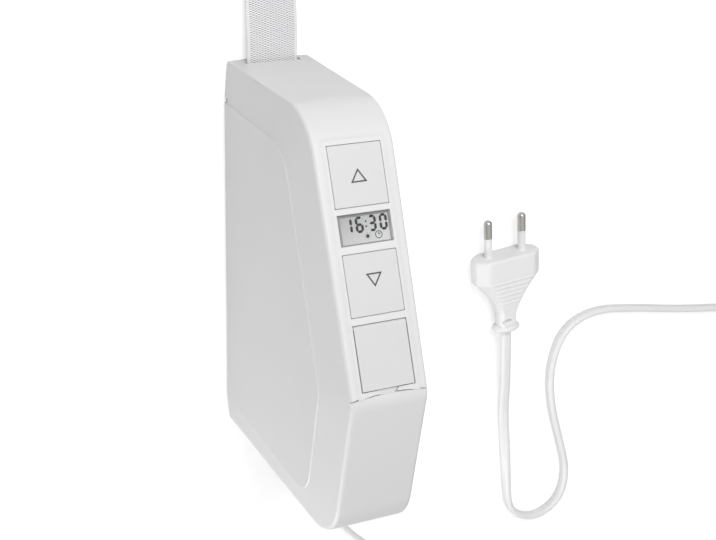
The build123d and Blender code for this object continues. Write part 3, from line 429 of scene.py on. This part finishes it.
lead = {
    "fromGland": [(2.2, -101.1, 8), (2.2, -109.5, 8), (8, -118.8, 7.2), (18, -127.4, 5.4),
                  (28.5, -138.7, 3.5), (38.5, -153.8, 2.7), (52, -169, 2.7), (72, -184, 2.7),
                  (102, -198, 2.7), (142, -212, 2.7), (190, -228, 2.7), (238, -240, 2.7),
                  (284, -249, 2.7), (322, -244, 2.7), (345, -219, 2.7), (353, -187, 2.8),
                  (353.4, -152, 3.6)],
    "toPlug": [(299.1, -79.1, 9.55), (278, -75, 3.2), (240, -70.5, 2.7), (208, -64.5, 2.7),
               (180, -60.5, 2.7), (161.5, -69, 2.7), (156, -91, 2.7), (159.5, -113, 2.7),
               (166.5, -133, 2.7), (173.4, -154.5, 2.7), (169.9, -172.2, 2.7), (153.4, -179.5, 2.7),
               (137.9, -170.1, 2.7), (135.2, -150, 2.7), (133, -130, 2.7), (130.5, -111, 2.9),
               (128.5, -91, 4.6), (125.92, -74.44, 7.2), (124.6, -60.5, 7.2)],
    "coilCentre": (318.0, -113.0), "coilRadii": (35.4, 32.425, 29.45, 25.3, 25.3, 29.45, 32.425, 35.4),
    "coilHeights": (3.6, 3.6, 3.6, 3.6, 9.55, 9.55, 9.55, 9.55), "coilTurns": 3.25, "coilPoints": 16,
    "width": 5.4, "thickness": 3.5, "length": 1520.0, "splineSteps": 8,
    "ring": 28, "roundness": 0.8, "grooveDeep": 0.12, "grooveHalf": 0.8,
    "flatNear": (30.0, 120.0), "edgeFrom": (15.0, 70.0), "floorHeights": (2.8, 4.2),
}


def coilPoints():
    # control points round the coil's centre: radius and height follow the number of half turns gone
    count = int(lead["coilTurns"] * lead["coilPoints"])
    turns = (np.arange(count) + 0.5) / lead["coilPoints"]
    halfTurns = range(len(lead["coilRadii"]))
    radius = np.interp(2 * turns, halfTurns, lead["coilRadii"]) / math.cos(math.pi / lead["coilPoints"])
    height = np.interp(2 * turns, halfTurns, lead["coilHeights"])
    angle = 2 * math.pi * turns
    x, y = lead["coilCentre"]
    return np.stack([x + radius * np.cos(angle), y + radius * np.sin(angle), height], -1)


def splinePath(points, steps):
    # a smooth line: the points control one NURBS spline, which is read back as a chain of vertices
    data = bpy.data.curves.new("leadRoute", "CURVE")
    data.dimensions = "3D"
    spline = data.splines.new("NURBS")
    spline.points.add(len(points) - 1)
    spline.points.foreach_set("co", np.hstack([points, np.ones((len(points), 1))]).ravel())
    spline.order_u = 3
    spline.use_endpoint_u = True
    spline.resolution_u = steps
    holder = bpy.data.objects.new("leadRoute", data)
    bpy.context.scene.collection.objects.link(holder)
    bpy.context.view_layer.update()
    mesh = bpy.data.meshes.new_from_object(holder)
    path = np.empty(len(mesh.vertices) * 3)
    mesh.vertices.foreach_get("co", path)
    bpy.data.objects.remove(holder)
    bpy.data.meshes.remove(mesh)
    return path.reshape(-1, 3)


def leadSection(half, thin):
    # flat oval: a superellipse, with a shallow groove along the middle of both faces between the two cores
    angle = ringAngles(lead["ring"])
    wide = signedPower(np.cos(angle), lead["roundness"]) * half
    groove = 1 - lead["grooveDeep"] * np.exp(-(wide / (lead["grooveHalf"] * mm)) ** 2)
    return np.stack([wide, np.sin(angle) * thin * groove], -1)


def makeLead():
    # flat twin lead: it lies flat at the gland and the plug and stands on its edge where it bends on the
    # floor, and its centre comes down where it lies flat, so that it rests on the floor all along
    points = np.concatenate([lead["fromGland"], coilPoints(), lead["toPlug"]]) * mm
    path = splinePath(points, lead["splineSteps"])
    gone = travelled(path)
    share = np.minimum(between(gone / mm, lead["edgeFrom"]),
                       between((gone[-1] - gone) / mm, lead["flatNear"]))
    roll = math.pi / 2 * share * share * (3 - 2 * share)
    half, thin = lead["width"] * mm / 2, lead["thickness"] * mm / 2
    reach = np.hypot(half * np.sin(roll), thin * np.cos(roll))
    path[:, 2] -= (half - reach) * (1 - between(path[:, 2] / mm, lead["floorHeights"]))
    tangent = directions(path)
    flatSide = np.cross(tangent, (0, 0, 1))
    flatSide /= np.linalg.norm(flatSide, axis=1, keepdims=True)
    flatUp = np.cross(flatSide, tangent)
    side = flatSide * np.cos(roll)[:, None] + flatUp * np.sin(roll)[:, None]
    verts, faces = sweepSection(path, side, np.cross(side, tangent), leadSection(half, thin)[None])
    piece = makePiece("mainsLead", verts, faces, finishes["lead_white"])
    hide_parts("cord_lead", "cord_coil", "cord_run")
    return piece, path


# plug: collar, neck, flared taper with grip bars, flat head

plug = {"start": (124.6, -60.5, 7.2), "bearing": 95.4, "width": 35.3, "thick": 13.7, "side": 5.5,
        "bevel": 5.0, "head": 12.0, "taper": 19.5, "flare": 1.5, "neck": 6.0, "neckWidth": 9.6,
        "neckThick": 8.6, "round": 1.3, "rows": 150, "endRows": 8, "edgePoints": (8, 10, 30, 10) * 2,
        "collar": 3.5, "collarHalf": (7.2, 5.2), "collarRound": 0.7, "collarGrip": 0.2, "collarRows": 19,
        "collarRing": 48, "inCollar": 2.1}
# The bars and the window have sloping edges: each edge is given by where its slope starts and ends, for a
# bar from its middle and from the end of the broad face, and for the window in shares of its half sizes.
details = {"bars": 6, "pitch": 2.4, "proud": 0.35, "pastTaper": 1.0, "barEdge": (0.225, 0.675),
           "barEnd": (-0.75, -0.25), "faceFrom": 1.2, "window": (1.3, 6.2), "windowHalf": (1.9, 0.9),
           "windowEdge": (1.4 - 1 / 3, 1.4), "windowDeep": 3.0}
neckEnd = plug["collar"] + plug["neck"]
headStart = neckEnd + plug["taper"]


def plugPiece(name, at, rings):
    # level rings, at distances from the lead's end along the plug's direction; all in millimetres
    turn = math.radians(plug["bearing"])
    ahead = np.array([math.cos(turn), math.sin(turn), 0])
    right = np.array([-math.sin(turn), math.cos(turn), 0])
    path = np.array(plug["start"]) * mm + ahead * (at * mm)[:, None]
    side, up = np.tile(right, (len(at), 1)), np.tile((0.0, 0, 1), (len(at), 1))
    verts, faces = sweepSection(path, side, up, rings * mm)
    piece = makePiece(name, verts, faces, finishes["plug_white"])
    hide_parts("plug_body")
    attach(piece, "bracket")
    return piece


def plugProfile():
    # half the width and half the thickness at distances from the lead: straight along the neck, then up
    # by a power of the distance along the taper, straight along the head, and a quarter circle at its end
    roundStart = headStart + plug["head"] - plug["round"]
    quarter = np.sin(np.linspace(0.15, 1, plug["endRows"]) * math.pi / 2)
    at = np.concatenate([np.linspace(plug["inCollar"], roundStart, plug["rows"]),
                         roundStart + plug["round"] * quarter])
    share = between(at, (neckEnd, headStart))
    past = np.clip(at - roundStart, 0, None)
    ease = plug["round"] - np.sqrt(np.clip(plug["round"] ** 2 - past ** 2, 0, None))
    half = (plug["neckWidth"] + (plug["width"] - plug["neckWidth"]) * share ** plug["flare"]) / 2 - ease
    thick = (plug["neckThick"] + (plug["thick"] - plug["neckThick"]) * share) / 2 - ease
    return at, half, thick


def plugRings(half, thick, bevel, side):
    # eight-cornered rings, with a count of points for each edge, softened by averaging each point with
    # its neighbours
    corners = np.array([(half, -side), (half, side), (half - bevel, thick), (bevel - half, thick),
                        (-half, side), (-half, -side), (bevel - half, -thick), (half - bevel, -thick)])
    corners = corners.transpose(2, 0, 1)
    edges = []
    for i, count in enumerate(plug["edgePoints"]):
        step = (np.arange(count) / count)[None, :, None]
        edges.append(corners[:, i, None] * (1 - step) + corners[:, (i + 1) % 8, None] * step)
    ring = np.concatenate(edges, 1)
    weights = {-2: 1, -1: 2, 0: 3, 1: 2, 2: 1}
    total = sum(np.roll(ring, shift, 1) * weight for shift, weight in weights.items())
    return total / sum(weights.values())


def makePlug():
    # bars stand out of the broad faces, and the clamp window goes into the upper one
    at, half, thick = plugProfile()
    bevel = plug["bevel"] * half * 2 / plug["width"]
    side = plug["side"] * thick / plug["thick"]
    rings = plugRings(half, thick, bevel, side)
    across, along = rings[..., 0], at[:, None]
    bar = np.zeros_like(along)
    for i in range(details["bars"]):
        middle = headStart + details["pastTaper"] - (i + 0.5) * details["pitch"]
        bar = np.maximum(bar, 1 - between(np.abs(along - middle), details["barEdge"]))
    onBroad = 1 - between(np.abs(across) - (half - bevel)[:, None], details["barEnd"])
    onBroad = onBroad * (np.abs(rings[..., 1]) > side[:, None] * details["faceFrom"])
    rings[..., 1] += np.sign(rings[..., 1]) * onBroad * bar * details["proud"]
    (windowX, windowY), (halfX, halfY) = details["window"], details["windowHalf"]
    outwards = np.hypot((across - windowX) / halfX, (along - windowY) / halfY)
    window = (1 - between(outwards, details["windowEdge"])) * (rings[..., 1] > 0)
    rings[..., 1] -= details["windowDeep"] * window
    return plugPiece("plugShell", at, rings)


def makeCollar():
    # a rounded ring: its width and thickness follow a bulge along the axis, a power of half a sine
    turns = np.linspace(0, math.pi, plug["collarRows"])
    bulge = np.sin(turns) ** plug["collarRound"]
    inner = (lead["width"] / 2 - plug["collarGrip"], lead["thickness"] / 2)
    wide, tall = [low + (high - low) * bulge for low, high in zip(inner, plug["collarHalf"])]
    around = ringAngles(plug["collarRing"])
    rings = np.stack([wide[:, None] * np.cos(around), tall[:, None] * np.sin(around)], -1)
    return plugPiece("plugCollar", plug["collar"] / 2 * (1 - np.cos(turns)), rings)


leadPiece, leadPath = makeLead()
plugShell = makePlug()
plugCollar = makeCollar()
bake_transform(leadPiece)
print("lead and plug made:", round(float(travelled(leadPath)[-1]), 3), "m")


# belt: on the reel, and from the reel round the roller and out at the top

belt = {"width": 22.4, "thick": 1.2, "depth": 5.0, "lip": 4.0, "stub": 50.0, "top": 83.6,
        "reel": (-32.6, 52.0), "start": 14.0, "pitch": 1.72, "turns": 10, "rollerR": 4.0, "rollerDrop": 11.0,
        "gap": 0.3, "clear": 0.4, "wallGap": 0.05, "ring": 64, "edgePower": 0.35, "facePower": 0.5,
        "edgeFull": 0.14, "edgeSteep": 8}
rowCounts = {"halfTurn": 25, "run": 60, "wrap": 16, "rise": 14, "arc": 22}


def beltSection():
    # flat rounded strip: a superellipse, fuller at the two woven edges
    angle = ringAngles(belt["ring"])
    wide = signedPower(np.cos(angle), belt["edgePower"])
    fullness = 1 - belt["edgeFull"] + belt["edgeFull"] * np.abs(wide) ** belt["edgeSteep"]
    tall = signedPower(np.sin(angle), belt["facePower"]) * fullness
    return np.stack([wide * belt["width"], tall * belt["thick"]], -1) / 2 * mm


def beltPiece(name, flatPath, replaced):
    # flatPath is Y and Z in millimetres along the belt; the section's wide side lies along X
    path = np.column_stack([np.zeros(len(flatPath)), flatPath]) * mm
    side = np.tile((1.0, 0, 0), (len(path), 1))
    section = beltSection()
    verts, faces = sweepSection(path, side, np.cross(side, directions(path)), section[None])
    piece = makePiece(name, verts, faces, finishes["belt_grey"])
    gone = travelled(path) / mm
    across = section[:, 0] / mm + belt["width"] / 2
    flat = np.stack(np.broadcast_arrays(across[None], gone[:, None]), -1).reshape(-1, 2)
    flat = np.concatenate([flat, [(belt["width"] / 2, gone[0]), (belt["width"] / 2, gone[-1])]])
    layer = piece.data.uv_layers.new(name="weave")
    corner = np.empty(len(piece.data.loops), int)
    piece.data.loops.foreach_get("vertex_index", corner)
    layer.data.foreach_set("uv", flat[corner].ravel())
    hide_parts(replaced)
    return piece, float(gone[-1]) * mm


def arcPoints(centre, radius, first, last, count):
    # circle about a centre in the Y-Z plane; angles in radians from Y towards Z
    turn = np.linspace(first, last, count)
    return np.column_stack([centre[0] + radius * np.cos(turn), centre[1] + radius * np.sin(turn)])


def windingPath():
    # half turns on two centres a quarter pitch either side of the axle, each half a pitch wider
    parts = []
    for i in range(2 * belt["turns"]):
        hand = 1 if i % 2 == 0 else -1
        radius = belt["start"] + belt["pitch"] / 2 * (i + 0.5)
        centre = (belt["reel"][0] + hand * belt["pitch"] / 4, belt["reel"][1])
        first = math.pi if hand == 1 else 0.0
        parts.append(arcPoints(centre, radius, first, first - math.pi, rowCounts["halfTurn"])[:-1])
    return np.concatenate(parts)


def tangentArc(start, heading, end, count):
    # the arc that leaves start along heading and passes through end, and its heading there
    chord = end - start
    normal = np.array([-heading[1], heading[0]])
    radius = chord @ chord / (2 * (chord @ normal))
    centre = start + normal * radius
    angles = [math.atan2(*(p - centre)[::-1]) for p in (start, end)]
    points = arcPoints(centre, abs(radius), *angles, count)
    after = points[-1] - points[-2]
    return points, after / np.linalg.norm(after)


def freePath():
    # straight from the winding to the roller, round it, out past the housing's top, and in an S of two
    # arcs that brings the end to the wall
    windingR = belt["start"] + belt["pitch"] * (belt["turns"] + 0.25) + belt["thick"] / 2
    lineR = windingR + belt["clear"] + belt["thick"] / 2
    wrapR = belt["rollerR"] + belt["gap"] + belt["thick"] / 2
    y, z = belt["top"] - belt["rollerDrop"], belt["depth"] + wrapR
    across, along = belt["reel"][1] - z, y - belt["reel"][0]
    turn = math.acos((lineR - wrapR) / math.hypot(across, along)) - math.atan2(along, across)
    inward = np.array([math.sin(turn), math.cos(turn)])
    first = np.array(belt["reel"]) - lineR * inward
    second = np.array([y, z]) - wrapR * inward
    run = np.linspace(first, second, rowCounts["run"])[:-1]
    bend = np.linspace(turn, 0, rowCounts["wrap"])
    wrap = np.column_stack([y - wrapR * np.sin(bend), z - wrapR * np.cos(bend)])
    lip = np.array([belt["top"] + belt["lip"], belt["depth"]])
    rise = np.linspace(wrap[-1], lip, rowCounts["rise"])[1:-1]
    freeEnd = np.array([belt["top"] + belt["stub"], belt["thick"] / 2 + belt["wallGap"]])
    halfWay = (lip + freeEnd) / 2
    sag, heading = tangentArc(lip, np.array([1.0, 0.0]), halfWay, rowCounts["arc"])
    rest, heading = tangentArc(halfWay, heading, freeEnd, rowCounts["arc"])
    return np.concatenate([run, wrap, rise, sag[:-1], rest])


woundBelt, woundLength = beltPiece("woundBelt", windingPath(), "belt_winding")
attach(woundBelt, "reel")
freeBelt, freeLength = beltPiece("freeBelt", freePath(), "belt_free")
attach(freeBelt, "housing")
print("belt made:", round(woundLength, 3), "m wound and", round(freeLength, 3), "m free")


# signs on the keys and the display's segments: thin plates on the front

def frontPlate(name, outlines, depth, rise, material):
    # each outline is X and distance down the front; it becomes a plate from depth outwards by rise
    points, faces = [], []
    for outline in outlines:
        outline = np.array(outline, float)
        following = np.roll(outline, -1, 0)
        area = np.sum(outline[:, 0] * following[:, 1] - following[:, 0] * outline[:, 1])
        if area > 0:
            outline = outline[::-1]
        count, base = len(outline), sum(len(p) for p in points)
        points.append(onFront(outline[:, 0], outline[:, 1], depth))
        points.append(onFront(outline[:, 0], outline[:, 1], depth - rise))
        faces.append([base + count + i for i in range(count)])
        faces.append([base + i for i in reversed(range(count))])
        for i in range(count):
            j = (i + 1) % count
            faces.append([base + i, base + j, base + count + j, base + count + i])
    return makePiece(name, np.concatenate(points), faces, material, smooth=False)


def strokePlates(line, width):
    # a flat bar along each side of a closed line, meeting at its corners
    line = np.array(line, float)
    middle = line.mean(0)
    ahead = np.roll(line, -1, 0) - line
    ahead /= np.linalg.norm(ahead, axis=1, keepdims=True)
    before = np.roll(ahead, 1, 0)
    split = ahead - before
    split /= np.linalg.norm(split, axis=1, keepdims=True)
    half = width / 2 / np.abs(split[:, 0] * ahead[:, 1] - split[:, 1] * ahead[:, 0])
    split *= np.sign(np.sum(split * (middle - line), axis=1, keepdims=True))
    inner, outer = line + split * half[:, None], line - split * half[:, None]
    count = len(line)
    return [[outer[i], outer[(i + 1) % count], inner[(i + 1) % count], inner[i]] for i in range(count)]


signs = {"line": 0.55, "rise": 0.03, "up": ((0.13, 26.05), (-2.7, 30.45), (3.0, 30.45)),
         "down": ((-2.2, 64.8), (3.45, 64.8), (0.5, 69.25))}
for key in ("up", "down"):
    sign = frontPlate(key + "Sign", strokePlates(signs[key], signs["line"]), 0.0, signs["rise"], signInk)
    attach(sign, key + "_key")

# The display shows a plain time with a sun and a clock below it. Each digit is seven tapered bars.
# Places are shares of the window, across and down; sizes are millimetres.
digits = {"high": 6.2, "wide": 3.3, "bar": 1.02, "gap": 0.06, "top": 0.1, "rise": 0.03,
          "places": ((0.229, "1"), (0.436, "6"), (0.68, "3"), (0.89, "0")),
          "colon": ((0.563, 0.28), (0.56, 0.44)), "colonHalf": 0.36, "colonSides": 12}
litBars = {"1": "bc", "6": "acdefg", "3": "abcdg", "0": "abcdef"}
sun = {"place": (0.563, 0.755), "radius": 0.7, "sides": 20, "dots": 8, "dotsOut": 1.15, "dotRadius": 0.13,
       "dotSides": 8}
clock = {"place": (0.772, 0.75), "radius": 1.35, "sides": 28, "line": 0.28,
         "hands": ((0.0, -0.95), (0.62, -0.5)), "handHalf": 0.12}


def digitBars(centre, top, lit):
    # bars a to g, clockwise from the top and the middle last, with pointed ends
    edge, gap = digits["bar"] / 2, digits["gap"]
    half, tall = digits["wide"] / 2 - edge, digits["high"] / 2 - edge
    ends = {"a": ((-half, -tall), (half, -tall)), "b": ((half, -tall), (half, 0)),
            "c": ((half, 0), (half, tall)), "d": ((-half, tall), (half, tall)),
            "e": ((-half, 0), (-half, tall)), "f": ((-half, -tall), (-half, 0)),
            "g": ((-half, 0), (half, 0))}
    bars = []
    for bar in lit:
        first, last = np.array(ends[bar]) + (centre, top + digits["high"] / 2)
        ahead = (last - first) / np.linalg.norm(last - first)
        across = np.array([ahead[1], -ahead[0]]) * edge
        near, far = first + ahead * (gap + edge), last - ahead * (gap + edge)
        bars.append([first + ahead * gap, near + across, far + across,
                     last - ahead * gap, far - across, near - across])
    return bars


def windowPlace(share, drop):
    return (share - 0.5) * displaySizes["width"], displaySizes["start"] + drop * displaySizes["height"]


def discLine(centre, radius, count):
    turn = ringAngles(count)
    return np.column_stack([centre[0] + radius * np.cos(turn), centre[1] + radius * np.sin(turn)])


def displayShapes():
    shapes = []
    for share, digit in digits["places"]:
        x, down = windowPlace(share, digits["top"])
        shapes += digitBars(x, down, litBars[digit])
    for place in digits["colon"]:
        shapes.append(discLine(windowPlace(*place), digits["colonHalf"], digits["colonSides"]))
    middle = windowPlace(*sun["place"])
    shapes.append(discLine(middle, sun["radius"], sun["sides"]))
    for spot in discLine(middle, sun["dotsOut"], sun["dots"]):
        shapes.append(discLine(spot, sun["dotRadius"], sun["dotSides"]))
    middle = np.array(windowPlace(*clock["place"]))
    shapes += strokePlates(discLine(middle, clock["radius"], clock["sides"]), clock["line"])
    for reach in clock["hands"]:
        tip = middle + reach
        across = np.array([-reach[1], reach[0]]) / math.hypot(*reach) * clock["handHalf"]
        shapes.append([middle - across, tip - across, tip + across, middle + across])
    return shapes


# the cell's printed border and painted shade of the window's recess: thin grey bars, wider at the left and
# top, where the window's edge hides part of them
border = {"left": 1.9, "right": 0.2, "top": 1.1, "bottom": 0.55, "rise": 0.02}


def borderShapes():
    half, start = displaySizes["width"] / 2, displaySizes["start"]
    end = start + displaySizes["height"]
    left, right = border["left"] - half, half - border["right"]
    bars = ((-half, left, start, end), (right, half, start, end),
            (left, right, start, start + border["top"]), (left, right, end - border["bottom"], end))
    return [[(x0, down0), (x1, down0), (x1, down1), (x0, down1)] for x0, x1, down0, down1 in bars]


onCell = displaySizes["cellDepth"]
segments = frontPlate("displaySegments", displayShapes(), onCell, digits["rise"], segmentInk)
# grey bars of painted recess shade on the cell's printed border
borderPrintAndShade = frontPlate("displayBorderShade", borderShapes(), onCell, border["rise"], borderShadeInk)
for piece in (segments, borderPrintAndShade):
    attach(piece, "housing")
print("signs and display made")


# studio: pale floor, soft light

# Sizes here are metres. The floor is lifted, and the world is white, for the camera alone. As a light
# the world is brightest overhead and dims towards the horizon and to both sides.
studio = {"floorSize": 40.0, "floorTone": "#dcdcdc", "lift": 0.5, "worldTone": "#ffffff",
          "sky": 0.57, "horizon": 0.1, "horizonTop": 0.45, "side": 0.7, "sideFrom": 0.1, "sideTo": 0.8,
          "aim": (0.02, 0, 0.05),
          "lamps": (("overhead", (-0.02, 0.46, 0.65), 0.5, 3.45), ("side", (-0.3, -0.46, 0.07), 0.25, 1.75))}


def makeFloor():
    material = bpy.data.materials.new("paperSeamless")
    tree = emptyTree(material)
    paper = addNode(tree, "ShaderNodeBsdfDiffuse", {"Color": linear(studio["floorTone"])})
    seen = addNode(tree, "ShaderNodeLightPath").outputs["Is Camera Ray"]
    lift = calc(tree, "MULTIPLY", seen, studio["lift"])
    glow = addNode(tree, "ShaderNodeEmission", {"Color": (1, 1, 1, 1), "Strength": lift})
    both = addNode(tree, "ShaderNodeAddShader", {0: paper.outputs[0], 1: glow.outputs[0]})
    addNode(tree, "ShaderNodeOutputMaterial", {"Surface": both.outputs[0]})
    half = studio["floorSize"] / 2
    corners = [(-half, -half, 0), (half, -half, 0), (half, half, 0), (-half, half, 0)]
    makePiece("studioFloor", corners, [[0, 1, 2, 3]], material, smooth=False)


def makeWorld():
    world = bpy.data.worlds.new("studioWorld")
    tree = emptyTree(world)
    way = splitPlace(tree, objectPlace(tree))
    dome = ramp(tree, way["Z"], 0.0, studio["horizonTop"], studio["horizon"], studio["sky"])
    for hand in (1, -1):
        start, end = hand * studio["sideFrom"], hand * studio["sideTo"]
        dome = calc(tree, "MULTIPLY", dome, ramp(tree, way["X"], start, end, 1.0, studio["side"]))
    seen = addNode(tree, "ShaderNodeLightPath").outputs["Is Camera Ray"]
    strength = mixValues(tree, seen, dome, 1.0)
    sky = addNode(tree, "ShaderNodeBackground", {"Color": linear(studio["worldTone"]), "Strength": strength})
    addNode(tree, "ShaderNodeOutputWorld", {"Surface": sky.outputs[0]})
    bpy.context.scene.world = world


def makeLamps():
    for name, place, size, power in studio["lamps"]:
        light = bpy.data.lights.new(name, "AREA")
        light.size = size
        light.energy = power
        lamp = bpy.data.objects.new(name, light)
        aim = Vector(studio["aim"]) - Vector(place)
        lamp.matrix_world = Matrix.Translation(place) @ aim.to_track_quat("-Z", "Y").to_matrix().to_4x4()
        bpy.context.scene.collection.objects.link(lamp)


makeFloor()
makeWorld()
makeLamps()
bpy.context.scene.view_settings.view_transform = "Standard"
print("studio set")
